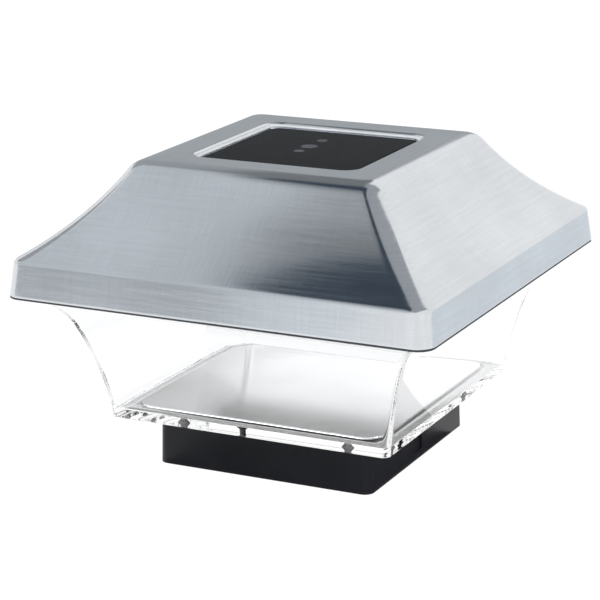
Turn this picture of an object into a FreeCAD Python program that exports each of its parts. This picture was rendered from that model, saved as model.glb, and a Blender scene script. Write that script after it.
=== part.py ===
"""Solar light for the top of a square deck post.

Millimetres, +Z up, origin at the centre of the collar's bottom edge.  The wide face in view is the
one towards -Y.  A black collar drops over the post and carries a clear flared lens tray with a
mirror plate on its floor.  A stamped steel cap sits on the lens, edged by a black trim.  Under the
cap a moulded tray carries the battery, the circuit board, the lamp and the switch, and a solar panel
lies in a pocket stamped into the cap's top.
"""
import FreeCAD, Part
import math
import os
from FreeCAD import Vector

# ---- post collar -----------------------------------------------------------------------------
post_width = 88.9            # a nominal four-inch post
post_clearance = 0.55        # each side, taken up by the crush ribs
collar_wall = 1.7
collar_height = 21.5
collar_lean = 0.5            # the wall flares this much from top to bottom
collar_corner = 4.0
deck_thickness = 2.5
deck_rib_depth = 3.0
deck_rib_width = 1.6
deck_rib_pitch = 14.5
crush_rib_width = 1.4
crush_rib_gap = 0.15         # left between a rib and the post
crush_rib_pitch = 24.0
crush_rib_start = 1.5        # above the collar's bottom edge
recess_width = 7.4           # blind knock-out in each of the two faces across X
recess_bottom = 3.0
recess_height = 10.5
recess_depth = 1.1

# ---- lens tray -------------------------------------------------------------------------------
lens_base_half = 60.3
lens_floor = 3.6
lens_wall = 2.0
lens_lean = 7.0              # degrees from upright where the wall leaves the floor
lens_lower_radius = 150.0
lens_turn = 22.3             # degrees from upright where the flare tightens
lens_flare_end = 70.2         # degrees from upright where the flare meets the lip
lens_hip = 3.2
lens_edge = 1.0              # upright edge below the curve
lens_lip_overhang = 0.3      # the lip's upright edge stands this far outside the flare's end
lens_to_tray = 1.38          # between the lip and the inside of the light tray
lens_lip = 2.4               # thickness of the lip the cap sits on
lens_lip_corner = 4.0

# ---- mirror and its fixings ------------------------------------------------------------------
mirror_half = 52.4
mirror_corner = 6.0
mirror_thickness = 0.8
pad_thickness = 0.4
pad_size = 16.0
pad_inset = 22.0
screw_spread = 36.0          # each screw's distance from the middle, both ways
screw_shank = 2.8
screw_head = 5.4
screw_head_height = 1.7
screw_clearance = 0.05
boss_diameter = 6.6

# ---- steel cap -------------------------------------------------------------------------------
rim_half = 89.0
rim_above_flare = 1.01       # the rim's underside above the end of the lens's flare
cap_rise = 50.0              # from the rim's underside to the plateau
steel = 0.6
skirt_lean = 6.8             # degrees
roof_run = 37.0              # from the rim inwards to where roof and plateau would meet without a fold
roof_slope = 58.5            # degrees below level at the plateau
roof_radius = 110.0
plateau_fold = 6.0
skirt_fold = 4.0
hip_radius = 6.5
trim_height = 1.0            # black edging under the steel's lower edge
trim_inset = 0.25            # the edging stands this far behind the steel's face
trim_lip = 0.8               # its upstand beside the lens's lip

# ---- solar panel and its pocket --------------------------------------------------------------
panel_half = 33.5
panel_corner = 4.5
pocket_gap = 1.3             # between the panel and the pocket's wall, at the pocket's floor
pocket_draft = 0.5
pocket_bevel = 0.45          # of the pocket's upper edge
panel_recess = 1.2           # resin below the plateau
resin_thickness = 1.5
resin_bevel = 0.4
cell_thickness = 0.3
board_thickness = 1.2
tape_thickness = 0.3
cell_count = 8
cell_gap = 0.5
cell_margin = 3.0
pad_row = ((-4.3, 4.3), (4.8, 6.7), (16.8, 4.3))    # place along Y and diameter of each round pad
pad_x = -2.9
round_pad_height = 0.25

# ---- light tray under the cap ----------------------------------------------------------------
cap_clearance = 0.3
tray_wall = 1.8
tray_rise = 11.0             # from the rim's underside to the top of the tray's deck
tray_deck = 2.0
gasket_height = 0.9
gasket_width = 2.4
gasket_inset = 0.6
ledge_margin = 1.6           # the ledge reaches this far inside the gasket
gusset_count = 5
gusset_pitch = 30.0
gusset_width = 1.4

# ---- housing on the light tray ---------------------------------------------------------------
housing_half = 32.5
housing_wall = 1.8
housing_corner = 5.0
housing_bevel = 1.0
locator_height = 1.8         # low wall on the tray that the housing drops over
locator_wall = 1.4
fit_gap = 0.15
housing_screw_inset = 5.0
rear_screw_x = 14.0          # the rear pair stands behind the battery bay
rear_screw_y = 28.3
housing_screw_shank = 2.4
housing_screw_head = 4.6
housing_screw_length = 12.0
housing_boss = 5.2

# ---- battery and its bay ---------------------------------------------------------------------
cell_diameter = 14.2
cell_length = 49.2
nub_diameter = 5.5
nub_length = 1.3
cell_bevel = 0.7
bay_y = 16.5
bay_wall = 1.4
bay_clearance = 0.6
contact_thickness = 0.5
contact_size = 10.0
tail_height = 2.0            # strip that joins each contact to the circuit board
tail_overlap = 3.0
spring_length = 3.0
spring_half = 4.0            # the leaf spring's ends from its middle
spring_width = 5.0
spring_thickness = 0.4

# ---- battery door ----------------------------------------------------------------------------
door_thickness = 1.8
door_gap = 0.35
knuckle_diameter = 3.0
knuckle_inset = 6.6          # from the door opening's end to the middle of a knuckle
pin_diameter = 1.8
pin_clearance = 0.1
pin_length = 2.2
latch_height = 2.2

# ---- circuit board and what is on it ---------------------------------------------------------
circuit_length = 56.0
circuit_width = 25.0
circuit_thickness = 1.6
circuit_to_bay = 3.4         # from the board to the wall of the battery bay
circuit_standoff = 5.0
standoff_diameter = 4.6
emitter_size = 3.5
emitter_height = 1.9
lamp_hole = 10.0
lamp_flange = 12.6
lamp_flange_height = 1.0
lamp_drop = 4.0              # how far the dome stands below the tray
chip_size = (5.0, 4.0, 1.6)
chip_place = (12.0, -14.0)
choke_diameter = 6.0
choke_height = 7.0
choke_place = (-14.0, -13.0)
capacitor_diameter = 5.0
capacitor_height = 8.0
capacitor_bevel = 0.4
capacitor_place = (-4.0, -16.0)
socket_size = (6.0, 4.0, 5.0)

# ---- switch ----------------------------------------------------------------------------------
switch_place = (17.0, -9.0)
switch_body_size = (9.0, 5.0, 3.6)
switch_travel = 3.0
knob_size = (2.6, 2.6)
knob_drop = 1.2              # below the tray's underside
knob_gap = 0.3

# ---- wires -----------------------------------------------------------------------------------
wire_diameter = 1.3
grommet_diameter = 9.0
grommet_lip = 1.2
lead_spread = 2.0
lead_y = -6.0

# ---- worked out ------------------------------------------------------------------------------
big = 400.0
tiny = 0.01
collar_inner = post_width / 2 + post_clearance
collar_bottom_half = collar_inner + collar_wall
collar_top_half = collar_bottom_half - collar_lean
deck_bottom = collar_height - deck_thickness
seat_height = deck_bottom - deck_rib_depth
floor_top = collar_height + lens_floor


def skirt_inner(rise):
    """Half width inside the steel skirt at the given height above the rim's underside."""
    lean = math.radians(skirt_lean)
    return rim_half - rise * math.tan(lean) - steel / math.cos(lean)


ridge_half = rim_half - roof_run
tray_half = skirt_inner(tray_rise) - cap_clearance
lens_top_half = tray_half - tray_wall - lens_to_tray

# the lens's wall: a slow arc about lens_lower up to the knee, then a tight one about lens_upper
lean_angle, turn_angle = math.radians(lens_lean), math.radians(lens_turn)
flare_angle = math.radians(lens_flare_end)
lens_lower = (lens_base_half + lens_lower_radius * math.cos(lean_angle),
              collar_height + lens_edge - lens_lower_radius * math.sin(lean_angle))
lens_knee = (lens_lower[0] - lens_lower_radius * math.cos(turn_angle),
             lens_lower[1] + lens_lower_radius * math.sin(turn_angle))
lens_upper_radius = ((lens_top_half - lens_lip_overhang - lens_knee[0])
                     / (math.cos(turn_angle) - math.cos(flare_angle)))
lens_upper = (lens_knee[0] + lens_upper_radius * math.cos(turn_angle),
              lens_knee[1] - lens_upper_radius * math.sin(turn_angle))
flare_top = lens_upper[1] + lens_upper_radius * math.sin(flare_angle)
lip_top = flare_top + lens_lip
rim_height = flare_top + rim_above_flare
cap_top = rim_height + cap_rise
skirt_foot = rim_height + trim_height
tray_top = rim_height + tray_rise
mirror_bottom = floor_top + pad_thickness
panel_top = cap_top - panel_recess
cells_bottom = panel_top - resin_thickness
panel_board_top = cells_bottom
panel_board_bottom = panel_board_top - board_thickness
pocket_floor = panel_board_bottom - tape_thickness
pocket_half = panel_half + pocket_gap
pocket_corner = panel_corner + pocket_gap
housing_top = pocket_floor - steel
deck_under = tray_top - tray_deck
bay_half_length = (cell_length + nub_length + spring_length) / 2 + contact_thickness
bay_half_width = cell_diameter / 2 + bay_clearance
cell_axis = tray_top + cell_diameter / 2 + bay_clearance
bay_top = cell_axis + cell_diameter / 2 + bay_clearance
circuit_y = bay_y - bay_half_width - bay_wall - circuit_to_bay - circuit_width / 2
circuit_bottom = tray_top + circuit_standoff
circuit_top = circuit_bottom + circuit_thickness


def put(shape, x=0.0, y=0.0, z=0.0):
    moved = shape.copy()
    moved.translate(Vector(x, y, z))
    return moved


def turned(shape, degrees, axis=Vector(0, 0, 1), about=Vector(0, 0, 0)):
    copy = shape.copy()
    copy.rotate(about, axis, degrees)
    return copy


def block(x, y, z, place):
    """Box of the given size, centred on place in X and Y and standing on its Z."""
    return Part.makeBox(x, y, z, Vector(place[0] - x / 2, place[1] - y / 2, place[2]))


def rod(diameter, height, place, axis=Vector(0, 0, 1)):
    return Part.makeCylinder(diameter / 2, height, Vector(*place), axis)


def fused(shapes):
    shapes = list(shapes)
    return shapes[0].multiFuse(shapes[1:]) if len(shapes) > 1 else shapes[0]


def square_wire(half, corner, z):
    """Square outline with rounded corners, at height z."""
    inner = half - corner
    bulge = inner + corner * math.sqrt(0.5)
    edges = []
    for turn in range(4):
        side = Part.makeLine(Vector(-inner, -half, z), Vector(inner, -half, z))
        bend = Part.Arc(Vector(inner, -half, z), Vector(bulge, -bulge, z), Vector(half, -inner, z)).toShape()
        edges += [turned(side, 90 * turn), turned(bend, 90 * turn)]
    return Part.Wire(Part.__sortEdges__(edges))


def square_plate(half, corner, bottom, top):
    face = Part.Face(square_wire(half, corner, bottom))
    return face.extrude(Vector(0, 0, top - bottom))


def square_taper(low, high, corner):
    """Rounded square solid between two (half, z) levels."""
    return Part.makeLoft([square_wire(low[0], corner, low[1]), square_wire(high[0], corner, high[1])],
                         True, True)


def arc_about(centre, radius, start, end):
    """Arc round centre between two points given as (x, z)."""
    first = math.atan2(start[1] - centre[1], start[0] - centre[0])
    last = math.atan2(end[1] - centre[1], end[0] - centre[0])
    last += 2 * math.pi * round((first - last) / (2 * math.pi))
    middle = (first + last) / 2
    halfway = Vector(centre[0] + radius * math.cos(middle), 0, centre[1] + radius * math.sin(middle))
    return Part.Arc(Vector(start[0], 0, start[1]), halfway, Vector(end[0], 0, end[1])).toShape()


def line_between(start, end):
    return Part.makeLine(Vector(start[0], 0, start[1]), Vector(end[0], 0, end[1]))


def hipped(side, corner):
    """Solid with the same outline from all four sides and rounded hips.

    side lists the outline's edges from the bottom up, with the number of levels that each is lofted
    through: two for a straight stretch, more for an arc.
    """
    levels = []
    for edge, count in side:
        points = edge.discretize(Number=count)
        if points[0].z > points[-1].z:
            points.reverse()
        levels += points[1:] if levels else points
    return Part.makeLoft([square_wire(point.x, corner, point.z) for point in levels], True, True)


def spun(outline, place, axis=Vector(0, 0, 1)):
    """Solid of revolution from (radius, height) points, standing on place and pointing along axis."""
    points = [Vector(0, 0, outline[0][1])]
    points += [Vector(radius, 0, height) for radius, height in outline]
    points += [Vector(0, 0, outline[-1][1]), points[0]]
    solid = Part.Face(Part.makePolygon(points)).revolve(Vector(0, 0, 0), Vector(0, 0, 1), 360)
    solid.Placement = FreeCAD.Placement(Vector(*place), FreeCAD.Rotation(Vector(0, 0, 1), axis))
    return solid


# ---- collar ----------------------------------------------------------------------------------
def post_socket():
    outer = square_taper((collar_bottom_half, 0), (collar_top_half, collar_height), collar_corner)
    hollow = square_taper((collar_inner, -tiny), (collar_inner - collar_lean, deck_bottom),
                          collar_corner - collar_wall)
    body = outer.cut(hollow)
    inner_top = collar_inner - collar_lean
    ribs = []
    reach = 2 * inner_top
    for step in range(-2, 3):
        ribs.append(block(deck_rib_width, reach, deck_rib_depth, (step * deck_rib_pitch, 0, seat_height)))
        ribs.append(block(reach, deck_rib_width, deck_rib_depth, (0, step * deck_rib_pitch, seat_height)))
    for x in (-screw_spread, screw_spread):
        for y in (-screw_spread, screw_spread):
            ribs.append(rod(boss_diameter, deck_rib_depth, (x, y, seat_height)))
    rib_face = post_width / 2 + crush_rib_gap
    rib_reach = collar_inner - rib_face + collar_wall / 2
    for side in range(4):
        for step in (-1, 0, 1):
            if side % 2 == 0 and step == 0:
                continue
            rib = Part.makePolygon([
                Vector(collar_inner + tiny, 0, crush_rib_start),
                Vector(rib_face, 0, crush_rib_start + 2 * (collar_inner - rib_face)),
                Vector(rib_face, 0, seat_height),
                Vector(rib_face + rib_reach, 0, seat_height),
                Vector(rib_face + rib_reach, 0, crush_rib_start),
                Vector(collar_inner + tiny, 0, crush_rib_start)])
            rib = Part.Face(rib).extrude(Vector(0, crush_rib_width, 0))
            ribs.append(turned(put(rib, 0, step * crush_rib_pitch - crush_rib_width / 2), 90 * side))
    body = body.fuse(fused(ribs).common(outer)).removeSplitter()
    for side in (-1, 1):
        place = (side * collar_bottom_half, 0, recess_bottom)
        recess = block(2 * recess_depth, recess_width, recess_height, place)
        rounding = [edge for edge in recess.Edges if abs(edge.Vertexes[0].X - edge.Vertexes[-1].X) > 1]
        body = body.cut(recess.makeFillet(1.0, rounding))
    for x in (-screw_spread, screw_spread):
        for y in (-screw_spread, screw_spread):
            body = body.cut(rod(screw_shank + 2 * screw_clearance, big, (x, y, 0)))
    return body


# ---- lens ------------------------------------------------------------------------------------
def lens_side(inset):
    """The wall's outline on one side, moved inwards by inset, and its upper end."""
    def point(centre, radius, angle):
        reach = radius + inset
        return (centre[0] - reach * math.cos(angle), centre[1] + reach * math.sin(angle))

    first = point(lens_lower, lens_lower_radius, lean_angle)
    middle = point(lens_lower, lens_lower_radius, turn_angle)
    end = point(lens_upper, lens_upper_radius, flare_angle)
    side = [(line_between((first[0], collar_height), first), 2),
            (arc_about(lens_lower, lens_lower_radius + inset, first, middle), 5),
            (arc_about(lens_upper, lens_upper_radius + inset, middle, end), 6)]
    return side, end


def lens_tray():
    side, end = lens_side(0)
    outer = hipped(side, lens_hip).fuse(square_plate(lens_top_half, lens_lip_corner, end[1], lip_top))
    inner_side, inner_end = lens_side(lens_wall)
    inner_side.append((line_between(inner_end, (inner_end[0], lip_top + 1)), 2))
    inner = hipped(inner_side, lens_hip - lens_wall)
    above_floor = Part.makeBox(big, big, big, Vector(-big / 2, -big / 2, floor_top))
    body = outer.cut(inner.common(above_floor))
    for x in (-screw_spread, screw_spread):
        for y in (-screw_spread, screw_spread):
            body = body.cut(countersunk(x, y, screw_clearance))
    return body


def countersunk(x, y, grow=0.0):
    """A base screw, or with grow the hole it sits in."""
    shank, head = screw_shank / 2 + grow, screw_head / 2 + grow
    cone = Part.makeCone(shank, head, screw_head_height, Vector(x, y, floor_top - screw_head_height))
    length = floor_top - screw_head_height - seat_height - 0.4
    return cone.fuse(rod(2 * shank, length + (big if grow else 0),
                         (x, y, seat_height + 0.4 - (big if grow else 0)))).removeSplitter()


def base_screws():
    screws = []
    for x in (-screw_spread, screw_spread):
        for y in (-screw_spread, screw_spread):
            recess = block(0.7, screw_head * 0.62, 0.8, (x, y, floor_top - 0.8))
            cross = recess.fuse(turned(recess, 90, about=Vector(x, y, 0)))
            screws.append(countersunk(x, y).cut(cross))
    return Part.makeCompound(screws)


def mirror_plate():
    return square_plate(mirror_half, mirror_corner, mirror_bottom, mirror_bottom + mirror_thickness)


def mirror_pads():
    pads = []
    for x in (-pad_inset, pad_inset):
        for y in (-pad_inset, pad_inset):
            pads.append(block(pad_size, pad_size, pad_thickness, (x, y, floor_top)))
    return Part.makeCompound(pads)


# ---- steel cap -------------------------------------------------------------------------------
def cap_side(inset):
    """The cap's outline on one side, from the rim up to the plateau, moved inwards by inset."""
    slope, lean = math.radians(roof_slope), math.radians(skirt_lean)
    roof = (ridge_half + roof_radius * math.sin(slope), cap_top + roof_radius * math.cos(slope))
    radius = roof_radius + inset
    # the plateau fold's centre lies below the plateau, where the fold touches the roof's arc
    crest_z = cap_top - plateau_fold
    crest = (roof[0] - math.sqrt((roof_radius + plateau_fold) ** 2 - (roof[1] - crest_z) ** 2), crest_z)
    # the skirt fold's centre runs beside the skirt until the fold touches the roof's arc
    along, inward = (-math.sin(lean), math.cos(lean)), (-math.cos(lean), -math.sin(lean))
    near = (rim_half + skirt_fold * inward[0] - roof[0], rim_height + skirt_fold * inward[1] - roof[1])
    dot = near[0] * along[0] + near[1] * along[1]
    reach = near[0] ** 2 + near[1] ** 2 - (roof_radius + skirt_fold) ** 2
    travel = -dot - math.sqrt(dot ** 2 - reach)
    fold = (roof[0] + near[0] + travel * along[0], roof[1] + near[1] + travel * along[1])

    def on_roof(centre, span):
        share = radius / span
        return (roof[0] + (centre[0] - roof[0]) * share, roof[1] + (centre[1] - roof[1]) * share)

    skirt_end = (fold[0] - (skirt_fold - inset) * inward[0], fold[1] - (skirt_fold - inset) * inward[1])
    roof_end = on_roof(fold, roof_radius + skirt_fold)
    roof_start = on_roof(crest, roof_radius + plateau_fold)
    foot = (rim_half - trim_height * math.tan(lean) - inset / math.cos(lean), skirt_foot)
    return [(line_between(foot, skirt_end), 2),
            (arc_about(fold, skirt_fold - inset, skirt_end, roof_end), 4),
            (arc_about(roof, radius, roof_end, roof_start), 8),
            (arc_about(crest, plateau_fold - inset, roof_start, (crest[0], cap_top - inset)), 6)]


def pocket(grow):
    """The stamped pocket's inside, or with grow the outside of its sheet."""
    low = (pocket_half + grow, pocket_floor - grow)
    high = (pocket_half + pocket_draft + grow, cap_top)
    return square_taper(low, high, pocket_corner + grow)


def steel_cap():
    outer = hipped(cap_side(0), hip_radius)
    inner = hipped(cap_side(steel), hip_radius - steel)
    body = outer.cut(inner.cut(pocket(steel))).cut(pocket(0))
    edge = pocket_half + pocket_draft
    mouth = square_taper((edge, cap_top - pocket_bevel), (edge + pocket_bevel, cap_top), pocket_corner)
    return body.cut(mouth).cut(rod(grommet_diameter - 2 * grommet_lip, big, (0, lead_y, 0)))


def rim_trim():
    """Black edging that closes the gap between the steel's lower edge and the lens's lip."""
    inside = tray_half - tray_wall - trim_lip - fit_gap
    flange = square_plate(rim_half - trim_inset, hip_radius, rim_height, skirt_foot)
    upstand = square_plate(inside + trim_lip, lens_lip_corner + trim_lip, rim_height, lip_top)
    return flange.fuse(upstand).cut(square_plate(inside, lens_lip_corner, rim_height - 1, lip_top + 1))


# ---- solar panel -----------------------------------------------------------------------------
def panel_tape():
    tape = square_plate(panel_half - 2, panel_corner, pocket_floor, panel_board_bottom)
    return tape.cut(rod(grommet_diameter + 1, big, (0, lead_y, 0)))


def panel_board():
    board = square_plate(panel_half, panel_corner, panel_board_bottom, panel_board_top)
    for x in (-lead_spread, lead_spread):
        board = board.cut(rod(wire_diameter + 0.2, board_thickness / 2, (x, lead_y, panel_board_bottom)))
    return board


def solar_cells():
    room = 2 * (panel_half - cell_margin)
    width = (room - (cell_count - 1) * cell_gap) / cell_count
    cells = []
    for step in range(cell_count):
        x = -room / 2 + width / 2 + step * (width + cell_gap)
        cells.append(block(width, room, cell_thickness, (x, 0, cells_bottom)))
    return Part.makeCompound(cells)


def panel_pads():
    return Part.makeCompound([rod(size, round_pad_height, (pad_x, y, cells_bottom + cell_thickness))
                              for y, size in pad_row])


def panel_resin():
    resin = square_plate(panel_half, panel_corner, panel_board_top, panel_top)
    edges = [edge for edge in resin.Edges if all(abs(v.Z - panel_top) < tiny for v in edge.Vertexes)]
    resin = resin.makeChamfer(resin_bevel, edges)
    return resin.cut(solar_cells()).cut(panel_pads())


def lead_grommet():
    """Rubber ring in the pocket's floor that the panel's leads pass through."""
    place = (0, lead_y, pocket_floor - steel)
    waist = rod(grommet_diameter - 2 * grommet_lip - 0.1, steel + tape_thickness, place)
    hole = rod(2 * (lead_spread + wire_diameter / 2) + 0.2, big, (0, lead_y, 0))
    return waist.cut(hole)


# ---- light tray ------------------------------------------------------------------------------
def light_tray():
    """Moulded tray that fills the cap's underside and sits on the lens's lip."""
    ledge = lip_top + gasket_height
    corner = hip_radius - steel - cap_clearance
    inner_half = tray_half - tray_wall
    body = square_taper((skirt_inner(trim_height) - cap_clearance, skirt_foot), (tray_half, tray_top), corner)
    body = body.cut(square_plate(inner_half, corner - tray_wall, skirt_foot - 1, deck_under))
    ring = square_plate(inner_half + tray_wall / 2, corner, ledge, ledge + tray_wall)
    inner_edge = lens_top_half - gasket_width - ledge_margin
    ring = ring.cut(square_plate(inner_edge, lens_hip, ledge - 1, ledge + 5))
    body = body.fuse(ring)
    depth = inner_half + tray_wall / 2 - inner_edge
    gussets = []
    for side in range(4):
        for step in range(gusset_count):
            along = (step - (gusset_count - 1) / 2) * gusset_pitch
            web = Part.Face(Part.makePolygon([
                Vector(inner_edge, 0, ledge + tray_wall / 2),
                Vector(inner_edge + depth, 0, ledge + tray_wall / 2),
                Vector(inner_edge + depth, 0, tray_top - tray_deck / 2),
                Vector(inner_edge, 0, tray_top - tray_deck / 2),
                Vector(inner_edge, 0, ledge + tray_wall / 2)]))
            web = put(web.extrude(Vector(0, gusset_width, 0)), 0, along - gusset_width / 2)
            gussets.append(turned(web, 90 * side))
    body = body.fuse(fused(gussets))
    body = body.fuse(locator()).fuse(bay_walls()).fuse(fused(standoffs()))
    for x, y in housing_screw_places():
        body = body.cut(rod(housing_screw_shank + 0.4, big, (x, y, 0)))
        body = body.cut(rod(housing_screw_head + 0.6, 1.2, (x, y, deck_under)))
    body = body.cut(rod(lamp_hole + 0.3, tray_deck, (0, 0, deck_under)))
    body = body.cut(rod(lamp_flange + 0.4, 0.6 + tiny, (0, 0, tray_top - 0.6)))
    slot = knob_size[0] + switch_travel + 2 * knob_gap
    body = body.cut(block(slot, knob_size[1] + 2 * knob_gap, tray_deck,
                          (switch_place[0] + switch_travel / 2, switch_place[1], deck_under)))
    body = body.cut(door_opening())
    return body.removeSplitter()


def locator():
    half = housing_half - housing_wall - fit_gap
    corner = housing_corner - housing_wall
    wall = square_plate(half, corner, tray_top - tiny, tray_top + locator_height)
    return wall.cut(square_plate(half - locator_wall, corner - locator_wall / 2, tray_top - 1, tray_top + 9))


def bay_walls():
    length, width = bay_half_length + bay_wall, bay_half_width + bay_wall
    shell = block(2 * length, 2 * width, bay_top - tray_top + bay_wall, (0, bay_y, tray_top - tiny))
    room = block(2 * bay_half_length, 2 * bay_half_width, bay_top - tray_top + 1, (0, bay_y, tray_top - 1))
    shell = shell.cut(room)
    for side in (-1, 1):
        x = side * (bay_half_length - contact_thickness / 2)
        place = (x, bay_y - width + bay_wall / 2, circuit_top - fit_gap)
        notch = block(contact_thickness + 2 * fit_gap, 2 * bay_wall, tail_height + 2 * fit_gap, place)
        shell = shell.cut(notch)
    return shell


def standoffs():
    posts = []
    for x in (-1, 1):
        for y in (-1, 1):
            place = (x * (circuit_length / 2 - 3), circuit_y + y * (circuit_width / 2 - 3), tray_top - tiny)
            posts.append(rod(standoff_diameter, circuit_standoff + tiny, place))
    return posts


def housing_screw_places():
    front = housing_half - housing_screw_inset
    return [(-front, -front), (front, -front), (-rear_screw_x, rear_screw_y), (rear_screw_x, rear_screw_y)]


def housing_cover():
    """Box that closes the works in from above."""
    outer = square_plate(housing_half, housing_corner, tray_top, housing_top)
    rim = [edge for edge in outer.Edges if all(abs(v.Z - housing_top) < tiny for v in edge.Vertexes)]
    outer = outer.makeChamfer(housing_bevel, rim)
    room = square_plate(housing_half - housing_wall, housing_corner - housing_wall, tray_top - 1,
                        housing_top - housing_wall)
    body = outer.cut(room)
    bosses = []
    for x, y in housing_screw_places():
        bosses.append(rod(housing_boss, housing_top - housing_wall - tray_top - locator_height,
                          (x, y, tray_top + locator_height)))
    body = body.fuse(fused(bosses).common(outer))
    for x, y in housing_screw_places():
        body = body.cut(rod(housing_screw_shank + 0.1, housing_screw_length + 1, (x, y, tray_top)))
    body = body.cut(rod(2 * lead_spread + wire_diameter + 1.0, big, (0, lead_y, 0)))
    return body.removeSplitter()


def housing_screws():
    screws = []
    for x, y in housing_screw_places():
        seat = deck_under + 1.2
        shank = rod(housing_screw_shank, housing_screw_length, (x, y, seat))
        head = rod(housing_screw_head, 1.2 + 0.4, (x, y, seat - 1.6))
        recess = block(0.6, housing_screw_head * 0.6, 0.7, (x, y, seat - 1.6))
        cross = recess.fuse(turned(recess, 90, about=Vector(x, y, 0)))
        screws.append(shank.fuse(head).removeSplitter().cut(cross))
    return Part.makeCompound(screws)


def rim_gasket():
    """Foam ring between the lens's lip and the light tray."""
    half = lens_top_half - gasket_inset
    outer = square_plate(half, lens_lip_corner, lip_top, lip_top + gasket_height)
    inner = square_plate(half - gasket_width, lens_lip_corner - gasket_width, lip_top - 1, lip_top + 5)
    return outer.cut(inner)


# ---- battery ---------------------------------------------------------------------------------
def battery_cell():
    start = -bay_half_length + contact_thickness + spring_length
    radius, nub = cell_diameter / 2, nub_diameter / 2
    outline = [(radius - cell_bevel, 0), (radius, cell_bevel), (radius, cell_length - cell_bevel),
               (radius - cell_bevel, cell_length), (nub, cell_length), (nub, cell_length + nub_length)]
    return spun(outline, (start, bay_y, cell_axis), Vector(1, 0, 0))


def contact_plate(side):
    """Plate against an end wall of the bay, with a tail that runs out over the circuit board."""
    x = side * (bay_half_length - contact_thickness / 2)
    plate = block(contact_thickness, contact_size, contact_size, (x, bay_y, cell_axis - contact_size / 2))
    near, far = circuit_y + circuit_width / 2 - tail_overlap, bay_y
    tail = block(contact_thickness, far - near, tail_height, (x, (near + far) / 2, circuit_top))
    return plate.fuse(tail).removeSplitter()


def battery_contact():
    return contact_plate(1)


def battery_spring():
    """Bowed leaf on its own plate, against the flat end of the cell."""
    base = -bay_half_length + contact_thickness

    def bow(reach, half):
        return Part.Arc(Vector(base, bay_y, cell_axis - half), Vector(base + reach, bay_y, cell_axis),
                        Vector(base, bay_y, cell_axis + half)).toShape()

    outer = bow(spring_length, spring_half)
    inner = bow(spring_length - spring_thickness, spring_half - spring_thickness)
    feet = [Part.makeLine(Vector(base, bay_y, cell_axis + side * spring_half),
                          Vector(base, bay_y, cell_axis + side * (spring_half - spring_thickness)))
            for side in (-1, 1)]
    leaf = Part.Face(Part.Wire(Part.__sortEdges__([outer, inner] + feet)))
    leaf = put(leaf.extrude(Vector(0, spring_width, 0)), 0, -spring_width / 2)
    return contact_plate(-1).fuse(leaf).removeSplitter()


# ---- battery door ----------------------------------------------------------------------------
def door_span():
    """Half length along X, and the near and far edges along Y, of the door's opening."""
    return bay_half_length, bay_y - bay_half_width, bay_y + bay_half_width


def hinge_axis():
    return bay_y + bay_half_width + knuckle_diameter / 2, deck_under + knuckle_diameter / 2 - 0.6


def door_opening():
    half, near, far = door_span()
    opening = block(2 * half, far - near, tray_deck + 1, (0, (near + far) / 2, deck_under - 0.5))
    y, z = hinge_axis()
    for side in (-1, 1):
        x = side * (half - knuckle_inset)
        opening = opening.fuse(block(2 * pin_length + 1.0, knuckle_diameter + 1.2, knuckle_diameter + 0.6,
                                     (x, y, deck_under - 0.5)))
        start = x - pin_length - 2.0
        opening = opening.fuse(rod(pin_diameter + 2 * pin_clearance, 2 * pin_length + 4.0, (start, y, z),
                                   Vector(1, 0, 0)))
    return opening


def battery_door():
    half, near, far = door_span()
    plate = block(2 * (half - door_gap), far - near - 2 * door_gap, door_thickness,
                  (0, (near + far) / 2, deck_under))
    y, z = hinge_axis()
    pieces = [plate]
    for side in (-1, 1):
        x = side * (half - knuckle_inset)
        pieces.append(rod(knuckle_diameter, 2 * pin_length, (x - pin_length, y, z), Vector(1, 0, 0)))
        pieces.append(block(2 * pin_length, y - far + 1.5, 1.2, (x, (y + far) / 2 - 0.75 + tiny, deck_under)))
        pieces.append(rod(pin_diameter, 2 * pin_length + 3.0, (x - pin_length - 1.5, y, z), Vector(1, 0, 0)))
    tongue = block(8.0, 1.0, door_thickness + latch_height - 0.6, (0, near + door_gap + 0.5, deck_under))
    pieces.append(tongue)
    grips = []
    for step in range(4):
        grips.append(block(14.0, 0.8, 0.5, (0, near + 2.5 + 1.6 * step, deck_under)))
    return fused(pieces).removeSplitter().cut(fused(grips))


# ---- circuit ---------------------------------------------------------------------------------
def circuit_board():
    return block(circuit_length, circuit_width, circuit_thickness, (0, circuit_y, circuit_bottom))


def control_chip():
    x, y, z = chip_size
    body = block(x, y, z - 0.3, (*chip_place, circuit_top + 0.3))
    legs = []
    for side in (-1, 1):
        for step in range(4):
            legs.append(block(0.4, 1.2, 0.5, (chip_place[0] + (step - 1.5) * 1.27,
                                              chip_place[1] + side * (y / 2 + 0.4), circuit_top)))
    return body.fuse(fused(legs))


def choke_coil():
    core = rod(choke_diameter, choke_height, (*choke_place, circuit_top))
    groove = rod(choke_diameter + 1, choke_height - 2.0, (*choke_place, circuit_top + 1.0))
    groove = groove.cut(rod(choke_diameter - 1.2, choke_height, (*choke_place, circuit_top)))
    return core.cut(groove)


def capacitor():
    radius = capacitor_diameter / 2
    outline = [(radius, 0), (radius, capacitor_height - capacitor_bevel),
               (radius - capacitor_bevel, capacitor_height)]
    return spun(outline, (*capacitor_place, circuit_top))


def lead_socket():
    """Plug-in socket on the board that the panel's leads end in."""
    return block(*socket_size, (0, lead_y, circuit_top))


def led_emitter():
    low = circuit_bottom - emitter_height
    base = block(emitter_size, emitter_size, emitter_height - 0.4, (0, 0, low + 0.4))
    return base.fuse(rod(emitter_size - 0.6, 0.5, (0, 0, low)))


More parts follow.
